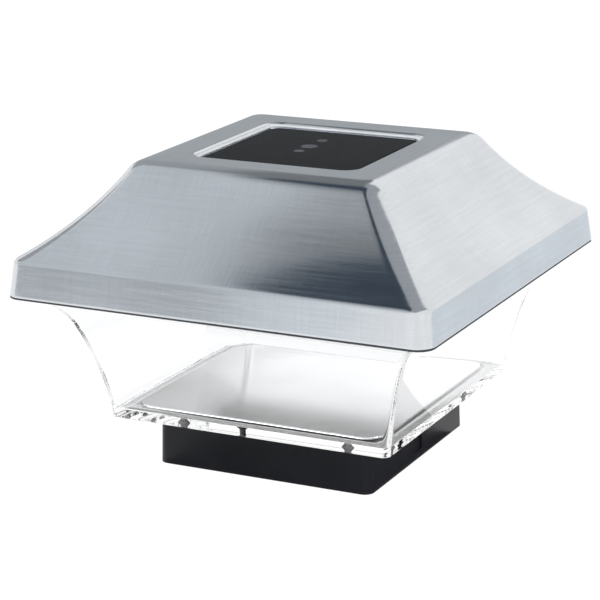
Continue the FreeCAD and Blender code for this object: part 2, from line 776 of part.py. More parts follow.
def lamp_lens():
    """Clear dome over the lamp, dropped into the tray from above."""
    flange = rod(lamp_flange, lamp_flange_height, (0, 0, tray_top - 0.6))
    barrel = rod(lamp_hole, tray_deck - 0.6 + 1.0, (0, 0, deck_under - 1.0))
    radius = lamp_hole / 2
    dome = Part.makeSphere(radius, Vector(0, 0, deck_under - 1.0))
    dome = dome.common(block(big, big, lamp_drop - 1.0, (0, 0, deck_under - lamp_drop)))
    hollow = rod(lamp_hole - 3.0, big, (0, 0, deck_under + 0.2))
    return fused([flange, barrel, dome]).removeSplitter().cut(hollow)


# ---- switch ----------------------------------------------------------------------------------
def switch_body():
    x, y, z = switch_body_size
    place = (switch_place[0] + switch_travel / 2, switch_place[1])
    body = block(x, y, z, (*place, tray_top))
    slot = block(knob_size[0] + switch_travel + 2 * knob_gap, knob_size[1] + 2 * knob_gap, z - 0.8,
                 (*place, tray_top))
    return body.cut(slot)


def switch_knob():
    z = switch_body_size[2] - 0.8 - knob_gap
    knob = block(*knob_size, z + tray_deck + knob_drop, (*switch_place, deck_under - knob_drop))
    groove = block(0.5, knob_size[1] + 1, 0.4, (*switch_place, deck_under - knob_drop))
    for step in (-1, 0, 1):
        knob = knob.cut(put(groove, step * 0.8))
    return knob


# ---- wires -----------------------------------------------------------------------------------
def panel_lead(side):
    """Wire from its hole in the panel's laminate straight down to the socket."""
    low = circuit_top + socket_size[2]
    high = panel_board_bottom + board_thickness / 2
    return rod(wire_diameter, high - low, (side * lead_spread, lead_y, low))


NODES = {}


def export():
    os.makedirs("parts", exist_ok=True)
    NODES.update({
        "post_socket": post_socket(),
        "lens_tray": lens_tray(),
        "base_screws": base_screws(),
        "mirror_pads": mirror_pads(),
        "mirror_plate": mirror_plate(),
        "steel_cap": steel_cap(),
        "rim_trim": rim_trim(),
        "panel_tape": panel_tape(),
        "panel_board": panel_board(),
        "solar_cells": solar_cells(),
        "panel_pads": panel_pads(),
        "panel_resin": panel_resin(),
        "lead_grommet": lead_grommet(),
        "light_tray": light_tray(),
        "rim_gasket": rim_gasket(),
        "housing_cover": housing_cover(),
        "housing_screws": housing_screws(),
        "battery_cell": battery_cell(),
        "battery_contact": battery_contact(),
        "battery_spring": battery_spring(),
        "battery_door": battery_door(),
        "circuit_board": circuit_board(),
        "control_chip": control_chip(),
        "choke_coil": choke_coil(),
        "capacitor": capacitor(),
        "lead_socket": lead_socket(),
        "led_emitter": led_emitter(),
        "lamp_lens": lamp_lens(),
        "switch_body": switch_body(),
        "switch_knob": switch_knob(),
        "panel_lead_plus": panel_lead(1),
        "panel_lead_minus": panel_lead(-1),
    })
    for name, shape in NODES.items():
        shape.exportStep("parts/%s.step" % name)
        print("%-18s solids %d  valid %s" % (name, len(shape.Solids), shape.isValid()))


export()
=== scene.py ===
"""Looks of a solar light for the top of a square deck post.

Metres, +Z up, origin at the centre of the collar's bottom edge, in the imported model's frame.
"""
import math

import bmesh
import bpy
from mathutils import Matrix, Vector


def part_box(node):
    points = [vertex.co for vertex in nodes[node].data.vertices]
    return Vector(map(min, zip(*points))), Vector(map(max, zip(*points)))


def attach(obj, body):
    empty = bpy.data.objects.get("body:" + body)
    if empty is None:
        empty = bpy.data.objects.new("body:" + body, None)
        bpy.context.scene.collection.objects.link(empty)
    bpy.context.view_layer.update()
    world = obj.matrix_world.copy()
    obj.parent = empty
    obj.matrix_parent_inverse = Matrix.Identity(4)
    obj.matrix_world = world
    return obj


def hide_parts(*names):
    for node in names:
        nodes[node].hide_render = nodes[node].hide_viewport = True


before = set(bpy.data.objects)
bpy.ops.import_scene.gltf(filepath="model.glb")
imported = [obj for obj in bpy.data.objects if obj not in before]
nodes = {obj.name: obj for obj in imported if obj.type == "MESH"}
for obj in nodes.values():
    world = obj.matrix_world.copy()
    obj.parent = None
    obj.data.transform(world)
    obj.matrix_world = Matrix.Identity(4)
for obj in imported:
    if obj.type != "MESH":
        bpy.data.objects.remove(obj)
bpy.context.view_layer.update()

MM = 0.001

# ---- sizes of the steel cap --------------------------------------------------------------------
RIM_DROP = 0.5 * MM
RIM_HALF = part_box("steel_cap")[1].x
RIM_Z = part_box("steel_cap")[0].z - RIM_DROP
CAP_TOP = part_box("steel_cap")[1].z
STEEL = 0.6 * MM
FOOT_ROLL = 0.5 * MM
FOOT_INSIDE = (1.6 * MM, 0.8 * MM)
SKIRT_LEAN = math.radians(6.8)
RIDGE_HALF = 52.0 * MM
ROOF_SLOPE = math.radians(58.5)
ROOF_RADIUS = 110.0 * MM
PLATEAU_FOLD = 9.0 * MM
SKIRT_FOLD = 2.2 * MM
RIM_CORNER = 6.6 * MM
TOP_CORNER = 3.8 * MM
CORNER_BLEND = 5.0 * MM
POCKET_HALF = 35.3 * MM
POCKET_CORNER = 6.2 * MM
POCKET_ROLL = 1.1 * MM
POCKET_DEPTH = 3.9 * MM
POCKET_TAPER = 0.5 * MM
POCKET_FOOT = 0.6 * MM
POCKET_LEDGE = 6.0 * MM

# ---- sizes of the panel's bead and pads --------------------------------------------------------
BEAD_DROP = 0.15 * MM
BEAD_OUTLINE = ((0.02 * MM, -0.5 * MM), (0.03 * MM, -0.1 * MM), (0.3 * MM, 0.0), (1.0 * MM, 0.1 * MM),
                (1.6 * MM, 0.5 * MM))
PAD_X = -2.9 * MM
PAD_Y_AND_WIDTH = ((-4.3 * MM, 4.3 * MM), (4.8 * MM, 6.7 * MM), (16.8 * MM, 4.3 * MM))
PAD_DEPTH = 0.24 * MM
PAD_RISE = 0.04 * MM
PAD_SEGMENTS = 40

# ---- sizes of the lens -------------------------------------------------------------------------
LENS_BASE_HALF = 60.3 * MM
LENS_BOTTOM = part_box("lens_tray")[0].z
LENS_FLOOR = 3.6 * MM
LENS_WALL = 2.0 * MM
LENS_LEAN = math.radians(7.0)
LENS_TURN = math.radians(22.3)
LENS_LOWER = 150.0 * MM
LENS_FLARE_END = math.radians(70.2)
LENS_LIP_OVERHANG = 0.3 * MM
LENS_AIR = 0.03 * MM
LENS_EDGE = 1.0 * MM
LENS_FOOT_ROUND = 0.35 * MM
LENS_INNER_ROUND = 0.7 * MM
LENS_LIP_ROUND = 0.3 * MM
LENS_LIP_STEP = 0.2 * MM
LENS_MIDDLE_HALF = 0.4 * LENS_BASE_HALF
LENS_INNER_SHARE = 0.9
LENS_TOP_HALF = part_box("lens_tray")[1].x
LENS_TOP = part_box("lens_tray")[1].z
LENS_HIP = 3.2 * MM
FILM_OVERLAP = 1.5 * MM
FILM_MARGIN = 1.0 * MM
FILM_THICK = 0.1 * MM
FILM_CORNER = 1.5 * MM

# ---- sizes of marks in the surfaces ------------------------------------------------------------
GRAIN_DEPTH = 0.2 * MM
RESIN_DEPTH = 0.6 * MM
SIDE_SHIFT = 0.37

# ---- tints of the steel and of the studio's cards ----------------------------------------------
COOL = (0.955, 0.985, 1.02)
CARD_TINT = (0.93, 0.985, 1.03)
DARK_CARD_TINT = (0.72, 1.0, 1.4)
WHITE = (1.0, 1.0, 1.0)

# ---- the photograph's view ---------------------------------------------------------------------
SENSOR_WIDTH = 36.0
FOCAL_LENGTH = 136.2
VIEW_AZIMUTH = math.radians(26.56)
VIEW_ELEVATION = math.radians(16.01)
VIEW_ROLL = math.radians(-0.79)
VIEW_DISTANCE = 0.9156
AIM_ACROSS = -4.984 * MM
AIM_HEIGHT = 60.794 * MM

# ---- light -------------------------------------------------------------------------------------
LIGHT_BOUNCES = 120
LAMP_AIM = (0, 0, 60 * MM)
CARD_AIM = (0, 0, 100 * MM)
FLOOR_REACH = 4.0
FLOOR_DROP = 0.5 * MM


# ---- mesh helpers ------------------------------------------------------------------------------
def new_object(name, data):
    piece = bpy.data.objects.new(name, data)
    bpy.context.scene.collection.objects.link(piece)
    return piece


def square_ring(half, corner, z, arc_steps, hold):
    """Points round a square with rounded corners; hold keeps two points on each side by the arcs."""
    inner = half - corner
    hold = min(hold, inner * 0.4)
    points = []
    for turn in range(4):
        side = [(-inner + hold, -half), (inner - hold, -half)]
        for step in range(arc_steps + 1):
            angle = -math.pi / 2 + math.pi / 2 * step / arc_steps
            side.append((inner + corner * math.cos(angle), -inner + corner * math.sin(angle)))
        c, s = round(math.cos(turn * math.pi / 2)), round(math.sin(turn * math.pi / 2))
        points += [Vector((x * c - y * s, x * s + y * c, z)) for x, y in side]
    return points


def arc_points(centre, radius, start, end, steps):
    """Points on an arc in the (half, z) plane from angle start to angle end, both included."""
    return [(centre[0] + radius * math.cos(start + (end - start) * i / steps),
             centre[1] + radius * math.sin(start + (end - start) * i / steps)) for i in range(steps + 1)]


def ring_shell(name, profile, corner_of, arc_steps=10, hold=1.5 * MM, closed_ends=False, loop=False):
    """Mesh through rounded square rings along a profile of (half, z), with a UV map along its brushing."""
    mesh = bmesh.new()
    rings, lengths = [], [0.0]
    for index, (half, z) in enumerate(profile):
        corner = min(corner_of(half, z), half * 0.98)
        rings.append([mesh.verts.new(point) for point in square_ring(half, corner, z, arc_steps, hold)])
        if index:
            before = profile[index - 1]
            lengths.append(lengths[-1] + math.hypot(half - before[0], z - before[1]))
    count = len(rings[0])
    uv = mesh.loops.layers.uv.new("brush")
    per_side = count // 4
    for index in range(len(rings) - (0 if loop else 1)):
        below, above = rings[index], rings[(index + 1) % len(rings)]
        for i in range(count):
            j = (i + 1) % count
            face = mesh.faces.new((below[i], below[j], above[j], above[i]))
            face.smooth = True
            side = (i // per_side) % 4
            for face_corner in face.loops:
                co = face_corner.vert.co
                along = (co.x, co.y, -co.x, -co.y)[side]
                on_lower = face_corner.vert in (below[i], below[j])
                up_profile = lengths[index if on_lower else min(index + 1, len(lengths) - 1)]
                face_corner[uv].uv = (along + side * SIDE_SHIFT, up_profile)
    for ring in (list(reversed(rings[0])), rings[-1]) if closed_ends else ():
        face = mesh.faces.new(ring)
        face.smooth = True
        for face_corner in face.loops:
            face_corner[uv].uv = (face_corner.vert.co.x, face_corner.vert.co.y)
    mesh.normal_update()
    data = bpy.data.meshes.new(name)
    mesh.to_mesh(data)
    mesh.free()
    return new_object(name, data)


def apply_modifiers(piece):
    """Makes a piece's modifiers part of its mesh."""
    evaluated = piece.evaluated_get(bpy.context.evaluated_depsgraph_get())
    data = bpy.data.meshes.new_from_object(evaluated)
    piece.modifiers.clear()
    piece.data = data


# ---- material helpers --------------------------------------------------------------------------
def mapped(tree, value, low, high, start, end):
    """The value's range from start to end, stretched to low and high."""
    node = tree.nodes.new("ShaderNodeMapRange")
    for key, number in (("From Min", start), ("From Max", end), ("To Min", low), ("To Max", high)):
        node.inputs[key].default_value = number
    tree.links.new(value, node.inputs["Value"])
    return node.outputs["Result"]


def grey(value, tint):
    return tuple(value * part for part in tint)


class Surface:
    """One node-based material, built up by short calls."""

    def __init__(self, name):
        self.material = bpy.data.materials.new(name)
        self.material.use_nodes = True
        self.tree = self.material.node_tree
        self.shader = self.tree.nodes["Principled BSDF"]

    def add(self, kind, **values):
        node = self.tree.nodes.new(kind)
        for key, value in values.items():
            if key in node.inputs:
                node.inputs[key].default_value = value
            else:
                setattr(node, key, value)
        return node

    def link(self, start, end):
        self.tree.links.new(start, end)

    def set(self, **values):
        for key, value in values.items():
            self.shader.inputs[key.replace("_", " ")].default_value = value

    def coordinates(self, scale=(1, 1, 1), uv=None):
        if uv:
            start = self.add("ShaderNodeUVMap", uv_map=uv).outputs["UV"]
        else:
            start = self.add("ShaderNodeTexCoord").outputs["Object"]
        mapping = self.add("ShaderNodeMapping")
        mapping.inputs["Scale"].default_value = scale
        self.link(start, mapping.inputs["Vector"])
        return mapping.outputs["Vector"]

    def noise(self, vector, scale, detail, roughness=0.5):
        node = self.add("ShaderNodeTexNoise", Scale=scale, Detail=detail, Roughness=roughness)
        self.link(vector, node.inputs["Vector"])
        return node.outputs["Fac"]

    def span(self, value, low, high, start=0.0, end=1.0):
        return mapped(self.tree, value, low, high, start, end)

    def sum(self, first, second):
        node = self.add("ShaderNodeMath", operation="ADD")
        self.link(first, node.inputs[0])
        self.link(second, node.inputs[1])
        return node.outputs[0]

    def ramp(self, value, stops):
        node = self.add("ShaderNodeValToRGB")
        elements = node.color_ramp.elements
        for index, (place, colour) in enumerate(stops):
            element = elements[index] if index < 2 else elements.new(place)
            element.position = place
            element.color = (*colour, 1)
        self.link(value, node.inputs["Fac"])
        return node.outputs["Color"]

    def bump(self, height, strength, distance):
        node = self.add("ShaderNodeBump", Strength=strength, Distance=distance)
        self.link(height, node.inputs["Height"])
        self.link(node.outputs["Normal"], self.shader.inputs["Normal"])


def brushed_steel():
    """Stainless sheet brushed parallel to the rim, with faint cross marks and cloudy patches."""
    s = Surface("brushed_steel")
    fine = s.noise(s.coordinates((70, 2400, 1), uv="brush"), 1.0, 3.0, 0.6)
    coarse = s.noise(s.coordinates((24, 620, 1), uv="brush"), 1.0, 3.0, 0.55)
    cross = s.noise(s.coordinates((1500, 60, 1), uv="brush"), 1.0, 2.0)
    cloud = s.noise(s.coordinates(), 26.0, 2.0)
    marks = s.sum(s.span(fine, -0.16, 0.16), s.span(coarse, 0.30, 0.70))
    marks = s.sum(marks, s.span(cloud, -0.12, 0.12, 0.3, 0.7))
    marks = s.sum(marks, s.span(cross, -0.14, 0.14))
    s.link(s.ramp(marks, [(0.15, grey(0.62, COOL)), (0.85, grey(0.83, COOL))]), s.shader.inputs["Base Color"])
    s.link(s.span(coarse, 0.12, 0.19, 0.3, 0.7), s.shader.inputs["Roughness"])
    s.set(Metallic=1.0, Anisotropic=0.2, Anisotropic_Rotation=0.25)
    tangent = s.add("ShaderNodeTangent", direction_type="UV_MAP", uv_map="brush")
    s.link(tangent.outputs["Tangent"], s.shader.inputs["Tangent"])
    s.bump(s.sum(fine, s.span(cross, 0.0, 0.35)), 0.08, GRAIN_DEPTH)
    return s.material


def clear_plastic():
    """Very clear moulded acrylic."""
    s = Surface("clear_plastic")
    s.set(Base_Color=(0.99, 0.993, 0.997, 1), Roughness=0.01, IOR=1.33, Transmission_Weight=1.0)
    return s.material


def mirror_finish():
    """Mirror sheet with a slight haze."""
    s = Surface("mirror_finish")
    haze = s.noise(s.coordinates(), 30.0, 3.0)
    s.link(s.span(haze, 0.10, 0.15, 0.3, 0.7), s.shader.inputs["Roughness"])
    s.set(Base_Color=(0.95, 0.955, 0.96, 1), Metallic=1.0)
    return s.material


def moulded(name, colour, roughness, coat=0.0, specular=0.5):
    """Moulded plastic or rubber: fine grain, with a slow change in tone and gloss."""
    s = Surface(name)
    slow = s.noise(s.coordinates(), 28.0, 3.0)
    fine = s.noise(s.coordinates(), 900.0, 2.0, 0.6)
    darker, lighter = grey(0.82, colour), tuple(min(1, 1.15 * part) for part in colour)
    s.link(s.ramp(slow, [(0.25, darker), (0.75, lighter)]), s.shader.inputs["Base Color"])
    s.link(s.span(slow, roughness * 0.85, min(1.0, roughness * 1.15), 0.3, 0.7), s.shader.inputs["Roughness"])
    s.set(Specular_IOR_Level=specular, Coat_Weight=coat, Coat_Roughness=0.1)
    s.bump(fine, 0.05, GRAIN_DEPTH)
    return s.material


def metal(name, colour, roughness):
    """Plain metal with fine marks in its tone and gloss."""
    s = Surface(name)
    marks = s.noise(s.coordinates(), 700.0, 3.0, 0.6)
    s.link(s.span(marks, roughness * 0.7, roughness * 1.4, 0.3, 0.7), s.shader.inputs["Roughness"])
    s.link(s.ramp(marks, [(0.2, grey(0.85, colour)), (0.8, colour)]), s.shader.inputs["Base Color"])
    s.set(Metallic=1.0)
    return s.material


def dark_resin():
    """Poured resin, nearly black, clear enough at the top to show the round pads beneath it."""
    s = Surface("dark_resin")
    s.set(Base_Color=(0.82, 0.84, 0.90, 1), Roughness=0.08, IOR=1.06, Transmission_Weight=1.0)
    pits = s.add("ShaderNodeTexVoronoi", Scale=150.0)
    s.link(s.coordinates(), pits.inputs["Vector"])
    wave = s.noise(s.coordinates((1, 1.6, 1)), 26.0, 2.0)
    s.bump(s.sum(s.span(pits.outputs["Distance"], 0.0, 0.05, 0.0, 0.06), wave), 0.04, RESIN_DEPTH)
    return s.material


# ---- steel cap ---------------------------------------------------------------------------------
def cap_profile():
    """Outline of the cap from inside the rolled rim up to the pocket's floor."""
    roof = (RIDGE_HALF + ROOF_RADIUS * math.sin(ROOF_SLOPE), CAP_TOP + ROOF_RADIUS * math.cos(ROOF_SLOPE))
    crest_z = CAP_TOP - PLATEAU_FOLD
    crest = (roof[0] - math.sqrt((ROOF_RADIUS + PLATEAU_FOLD) ** 2 - (roof[1] - crest_z) ** 2), crest_z)
    along = (-math.sin(SKIRT_LEAN), math.cos(SKIRT_LEAN))
    inward = (-math.cos(SKIRT_LEAN), -math.sin(SKIRT_LEAN))
    near = (RIM_HALF + SKIRT_FOLD * inward[0] - roof[0], RIM_Z + SKIRT_FOLD * inward[1] - roof[1])
    dot = near[0] * along[0] + near[1] * along[1]
    reach = near[0] ** 2 + near[1] ** 2 - (ROOF_RADIUS + SKIRT_FOLD) ** 2
    travel = -dot - math.sqrt(dot ** 2 - reach)
    fold = (roof[0] + near[0] + travel * along[0], roof[1] + near[1] + travel * along[1])
    to_fold = math.atan2(roof[1] - fold[1], roof[0] - fold[0])
    to_crest = math.atan2(roof[1] - crest[1], roof[0] - crest[0])
    foot = (RIM_HALF - FOOT_ROLL * (math.cos(SKIRT_LEAN) + math.sin(SKIRT_LEAN)), RIM_Z + FOOT_ROLL)
    profile = [(foot[0] - inside, RIM_Z) for inside in FOOT_INSIDE]
    profile += arc_points(foot, FOOT_ROLL, -math.pi / 2, SKIRT_LEAN, 5)
    skirt_top = (fold[0] + SKIRT_FOLD * math.cos(SKIRT_LEAN), fold[1] + SKIRT_FOLD * math.sin(SKIRT_LEAN))
    start = profile[-1]
    for share in (0.06, 0.5, 0.94):
        profile.append((start[0] + (skirt_top[0] - start[0]) * share,
                        start[1] + (skirt_top[1] - start[1]) * share))
    profile += arc_points(fold, SKIRT_FOLD, SKIRT_LEAN, to_fold, 7)
    profile += arc_points(roof, ROOF_RADIUS, to_fold - math.pi, to_crest - math.pi, 26)[1:-1]
    profile += arc_points(crest, PLATEAU_FOLD, to_crest, math.pi / 2, 8)
    lip = POCKET_HALF + POCKET_ROLL
    for share in (0.1, 0.9):
        profile.append((crest[0] + (lip - crest[0]) * share, CAP_TOP))
    profile += arc_points((lip, CAP_TOP - POCKET_ROLL), POCKET_ROLL, math.pi / 2, math.pi, 6)
    wall_half, pocket_floor = POCKET_HALF - POCKET_TAPER, CAP_TOP - POCKET_DEPTH
    profile += [(wall_half, pocket_floor + POCKET_FOOT), (wall_half - POCKET_FOOT, pocket_floor),
                (wall_half - POCKET_LEDGE, pocket_floor)]
    return profile


def pocket_corner(half):
    return POCKET_CORNER - (POCKET_HALF - half)


def cap_corner(half, z):
    """Corner radius of one ring: tight on the plateau, wider from the top of the roof down."""
    if z > CAP_TOP - POCKET_DEPTH - MM and half < POCKET_HALF + 2 * POCKET_ROLL:
        return pocket_corner(half)
    share = max(0.0, min(1.0, (half - RIDGE_HALF) / CORNER_BLEND + 0.5))
    return TOP_CORNER + (RIM_CORNER - TOP_CORNER) * share


def make_cap():
    """The pressed steel sheet, with its folds as the photograph shows them."""
    cap = ring_shell("steel_cap_sheet", cap_profile(), cap_corner)
    sheet = cap.modifiers.new("sheet", "SOLIDIFY")
    sheet.thickness = STEEL
    sheet.offset = -1.0
    apply_modifiers(cap)
    cap.data.materials.append(brushed_steel())
    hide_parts("steel_cap")
    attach(cap, "cap")


def make_bead():
    """Pale sealant that fills the gap round the solar panel."""
    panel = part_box("panel_resin")[1]
    profile = [(panel.x + out, panel.z - BEAD_DROP + up) for out, up in BEAD_OUTLINE]
    bead = ring_shell("panel_bead", profile, lambda half, z: pocket_corner(half))
    bead.data.materials.append(moulded("sealant", (0.78, 0.79, 0.80), 0.35))
    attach(bead, "cap")


def make_pads():
    """The three round pads under the resin, a hair taller so that they show through it."""
    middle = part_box("panel_pads")[1].z + PAD_RISE - PAD_DEPTH / 2
    mesh = bmesh.new()
    for y, width in PAD_Y_AND_WIDTH:
        bmesh.ops.create_cone(mesh, cap_ends=True, segments=PAD_SEGMENTS, radius1=width / 2, radius2=width / 2,
                              depth=PAD_DEPTH, matrix=Matrix.Translation((PAD_X, y, middle)))
    data = bpy.data.meshes.new("round_pads")
    mesh.to_mesh(data)
    mesh.free()
    pads = new_object("round_pads", data)
    data.materials.append(moulded("solder_white", (0.042, 0.045, 0.056), 0.6))
    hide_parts("panel_pads")
    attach(pads, "cap")


# ---- lens --------------------------------------------------------------------------------------
def lens_curve(inset, steps):
    """The lens wall from floor to lip, moved inwards by inset."""
    start = (LENS_BASE_HALF, LENS_BOTTOM + LENS_EDGE)
    lower = (start[0] + LENS_LOWER * math.cos(LENS_LEAN), start[1] - LENS_LOWER * math.sin(LENS_LEAN))
    knee = (lower[0] - LENS_LOWER * math.cos(LENS_TURN), lower[1] + LENS_LOWER * math.sin(LENS_TURN))
    radius = ((LENS_TOP_HALF - LENS_LIP_OVERHANG - knee[0])
              / (math.cos(LENS_TURN) - math.cos(LENS_FLARE_END)))
    upper = (knee[0] + radius * math.cos(LENS_TURN), knee[1] - radius * math.sin(LENS_TURN))
    low = arc_points(lower, LENS_LOWER + inset, math.pi - LENS_LEAN, math.pi - LENS_TURN, steps)
    high = arc_points(upper, radius + inset, math.pi - LENS_TURN, math.pi - LENS_FLARE_END, steps)
    return low + high[1:]


def make_lens():
    """The clear tray: outside from its middle to the lip, then back down the inside."""
    floor_z = LENS_BOTTOM + LENS_FLOOR - LENS_AIR
    bottom = LENS_BOTTOM + LENS_AIR
    outside = lens_curve(0.0, 10)
    inside = [point for point in lens_curve(LENS_WALL, 10) if point[1] > floor_z + LENS_INNER_ROUND + 0.1 * MM]
    outer = [(LENS_MIDDLE_HALF, bottom), (LENS_BASE_HALF - 3 * LENS_FOOT_ROUND, bottom)]
    outer += arc_points((LENS_BASE_HALF - LENS_FOOT_ROUND, bottom + LENS_FOOT_ROUND), LENS_FOOT_ROUND,
                        -math.pi / 2, 0, 3)
    outer += outside
    outer += [(LENS_TOP_HALF, outside[-1][1] + LENS_LIP_STEP), (LENS_TOP_HALF, LENS_TOP - LENS_LIP_ROUND),
              (LENS_TOP_HALF - LENS_LIP_ROUND, LENS_TOP), (inside[-1][0] + LENS_LIP_ROUND, LENS_TOP)]
    foot = inside[0][0]
    inner = list(reversed(inside))
    inner += arc_points((foot - LENS_INNER_ROUND, floor_z + LENS_INNER_ROUND), LENS_INNER_ROUND,
                        0, -math.pi / 2, 4)
    inner += [(foot - 3 * MM, floor_z), (LENS_MIDDLE_HALF, floor_z)]

    def corner(half, z):
        return LENS_HIP - LENS_WALL * LENS_INNER_SHARE if (half, z) in inner else LENS_HIP

    lens = ring_shell("lens_wall", outer + inner, corner, 8, 1.0 * MM, closed_ends=True)
    lens.data.materials.append(clear_plastic())
    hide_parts("lens_tray")
    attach(lens, "base")


def make_film():
    """Pale strip that frames the mirror on the lens floor."""
    low = LENS_BOTTOM + LENS_FLOOR
    high = low + FILM_THICK
    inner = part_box("mirror_plate")[1].x - FILM_OVERLAP
    outer = LENS_BASE_HALF - LENS_WALL - FILM_MARGIN
    profile = [(inner, low), (outer, low), (outer, high), (inner, high)]
    film = ring_shell("lens_film", profile, lambda half, z: FILM_CORNER, 6, loop=True)
    film.data.materials.append(metal("bright_film", (0.96, 0.965, 0.97), 0.2))
    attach(film, "base")


# ---- CAD nodes' materials ----------------------------------------------------------------------
def dress_nodes():
    """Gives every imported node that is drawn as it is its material."""
    black = moulded("black_abs", (0.023, 0.0235, 0.028), 0.34, specular=0.20)
    inner = moulded("inner_plastic", (0.74, 0.74, 0.73), 0.45)
    chip = moulded("chip_black", (0.012, 0.012, 0.013), 0.5)
    bright = metal("bright_screw", (0.72, 0.72, 0.74), 0.22)
    table = {
        "post_socket": black,
        "base_screws": moulded("zinc_screw", (0.90, 0.90, 0.92), 0.4),
        "mirror_pads": moulded("foam_tape", (0.7, 0.7, 0.68), 0.9),
        "mirror_plate": mirror_finish(),
        "panel_tape": moulded("pale_tape", (0.6, 0.6, 0.58), 0.9),
        "panel_board": moulded("panel_laminate", (0.007, 0.010, 0.020), 0.6, specular=0.0),
        "solar_cells": moulded("silicon", (0.007, 0.010, 0.021), 0.6, specular=0.0),
        "panel_resin": dark_resin(),
        "lead_grommet": moulded("black_rubber", (0.015, 0.015, 0.016), 0.75),
        "light_tray": inner,
        "rim_gasket": moulded("pale_rubber", (0.70, 0.70, 0.70), 0.75),
        "rim_trim": moulded("trim_rubber", (0.045, 0.05, 0.06), 0.7),
        "housing_cover": inner,
        "housing_screws": bright,
        "battery_cell": moulded("battery_sleeve", (0.08, 0.30, 0.12), 0.3, coat=0.5),
        "battery_contact": bright,
        "battery_spring": bright,
        "battery_door": inner,
        "circuit_board": moulded("circuit_laminate", (0.02, 0.16, 0.06), 0.35),
        "control_chip": chip,
        "choke_coil": metal("copper", (0.72, 0.36, 0.2), 0.35),
        "capacitor": moulded("capacitor_sleeve", (0.01, 0.015, 0.08), 0.3),
        "lead_socket": moulded("white_plastic", (0.75, 0.74, 0.7), 0.5),
        "led_emitter": moulded("phosphor", (0.85, 0.66, 0.12), 0.5),
        "lamp_lens": clear_plastic(),
        "switch_body": chip,
        "switch_knob": black,
        "panel_lead_plus": moulded("red_insulation", (0.5, 0.02, 0.02), 0.5),
        "panel_lead_minus": moulded("black_insulation", (0.02, 0.02, 0.02), 0.5),
    }
    for node, material in table.items():
        slots = nodes[node].data.materials
        slots.clear()
        slots.append(material)


# ---- studio ------------------------------------------------------------------------------------
def white_where_seen(tree, seen):
    """Mixing share: seen for the camera, gloss and rays through glass, and none for any other light."""
    path = tree.nodes.new("ShaderNodeLightPath")
    most = path.outputs["Is Camera Ray"]
    for name in ("Is Glossy Ray", "Is Transmission Ray"):
        node = tree.nodes.new("ShaderNodeMath")
        node.operation = "MAXIMUM"
        tree.links.new(most, node.inputs[0])
        tree.links.new(path.outputs[name], node.inputs[1])
        most = node.outputs[0]
    share = tree.nodes.new("ShaderNodeMath")
    share.operation = "MULTIPLY"
    share.inputs[1].default_value = seen
    tree.links.new(most, share.inputs[0])
    return share.outputs[0]


def make_floor():
    """Pale floor that keeps the part's shadow and looks white to the camera, gloss and glass."""
    mesh = bpy.data.meshes.new("floor")
    mesh.from_pydata(level(0, (-FLOOR_REACH, FLOOR_REACH), (-FLOOR_REACH, FLOOR_REACH)), [], [(0, 1, 2, 3)])
    floor = new_object("floor", mesh)
    floor.location.z = -FLOOR_DROP
    material = bpy.data.materials.new("pale_floor")
    material.use_nodes = True
    tree = material.node_tree
    diffuse = tree.nodes["Principled BSDF"]
    diffuse.inputs["Base Color"].default_value = (0.86, 0.86, 0.86, 1)
    diffuse.inputs["Roughness"].default_value = 1.0
    white = tree.nodes.new("ShaderNodeEmission")
    white.inputs["Strength"].default_value = 1.1
    mix = tree.nodes.new("ShaderNodeMixShader")
    tree.links.new(white_where_seen(tree, 0.9), mix.inputs["Fac"])
    tree.links.new(diffuse.outputs[0], mix.inputs[1])
    tree.links.new(white.outputs[0], mix.inputs[2])
    tree.links.new(mix.outputs[0], tree.nodes["Material Output"].inputs["Surface"])
    mesh.materials.append(material)


def make_world():
    """Even studio light, plain white where it is seen."""
    world = bpy.data.worlds.new("studio")
    bpy.context.scene.world = world
    world.use_nodes = True
    tree = world.node_tree
    background = tree.nodes["Background"]
    background.inputs["Color"].default_value = (0.92, 0.94, 0.97, 1)
    background.inputs["Strength"].default_value = 0.55
    white = tree.nodes.new("ShaderNodeBackground")
    white.inputs["Color"].default_value = (1, 1, 1, 1)
    mix = tree.nodes.new("ShaderNodeMixShader")
    tree.links.new(white_where_seen(tree, 1.0), mix.inputs["Fac"])
    tree.links.new(background.outputs[0], mix.inputs[1])
    tree.links.new(white.outputs[0], mix.inputs[2])
    tree.links.new(mix.outputs[0], tree.nodes["World Output"].inputs["Surface"])


def lamp(name, place, width, power):
    """Square soft lamp that gloss doesn't see."""
    data = bpy.data.lights.new(name, "AREA")
    data.shape = "RECTANGLE"
    data.size = data.size_y = width
    data.energy = power
    light = new_object(name, data)
    light.location = place
    light.rotation_euler = (Vector(LAMP_AIM) - Vector(place)).to_track_quat("-Z", "Y").to_euler()
    light.visible_glossy = False


def card(name, corners, value, tint=CARD_TINT, through_glass=False):
    """A flat studio card that only gloss sees, for the steel, or only rays through the clear lens."""
    mesh = bpy.data.meshes.new(name)
    mesh.from_pydata(corners, [], [tuple(range(len(corners)))])
    piece = new_object(name, mesh)
    material = bpy.data.materials.new(name)
    material.use_nodes = True
    tree = material.node_tree
    tree.nodes.remove(tree.nodes["Principled BSDF"])
    shade = tree.nodes.new("ShaderNodeEmission")
    shade.inputs["Color"].default_value = (*grey(value, tint), 1)
    tree.links.new(shade.outputs[0], tree.nodes["Material Output"].inputs["Surface"])
    mesh.materials.append(material)
    piece.visible_camera = False
    piece.visible_diffuse = False
    piece.visible_glossy = not through_glass
    piece.visible_transmission = through_glass
    piece.visible_shadow = False
    return piece


def overhead(height, outline):
    """Corners of a level card, from its outline in x and y."""
    return [(x, y, height) for x, y in outline]


def level(height, x, y):
    """Corners of a level oblong between two values of x and two of y."""
    return overhead(height, [(x[0], y[0]), (x[1], y[0]), (x[1], y[1]), (x[0], y[1])])


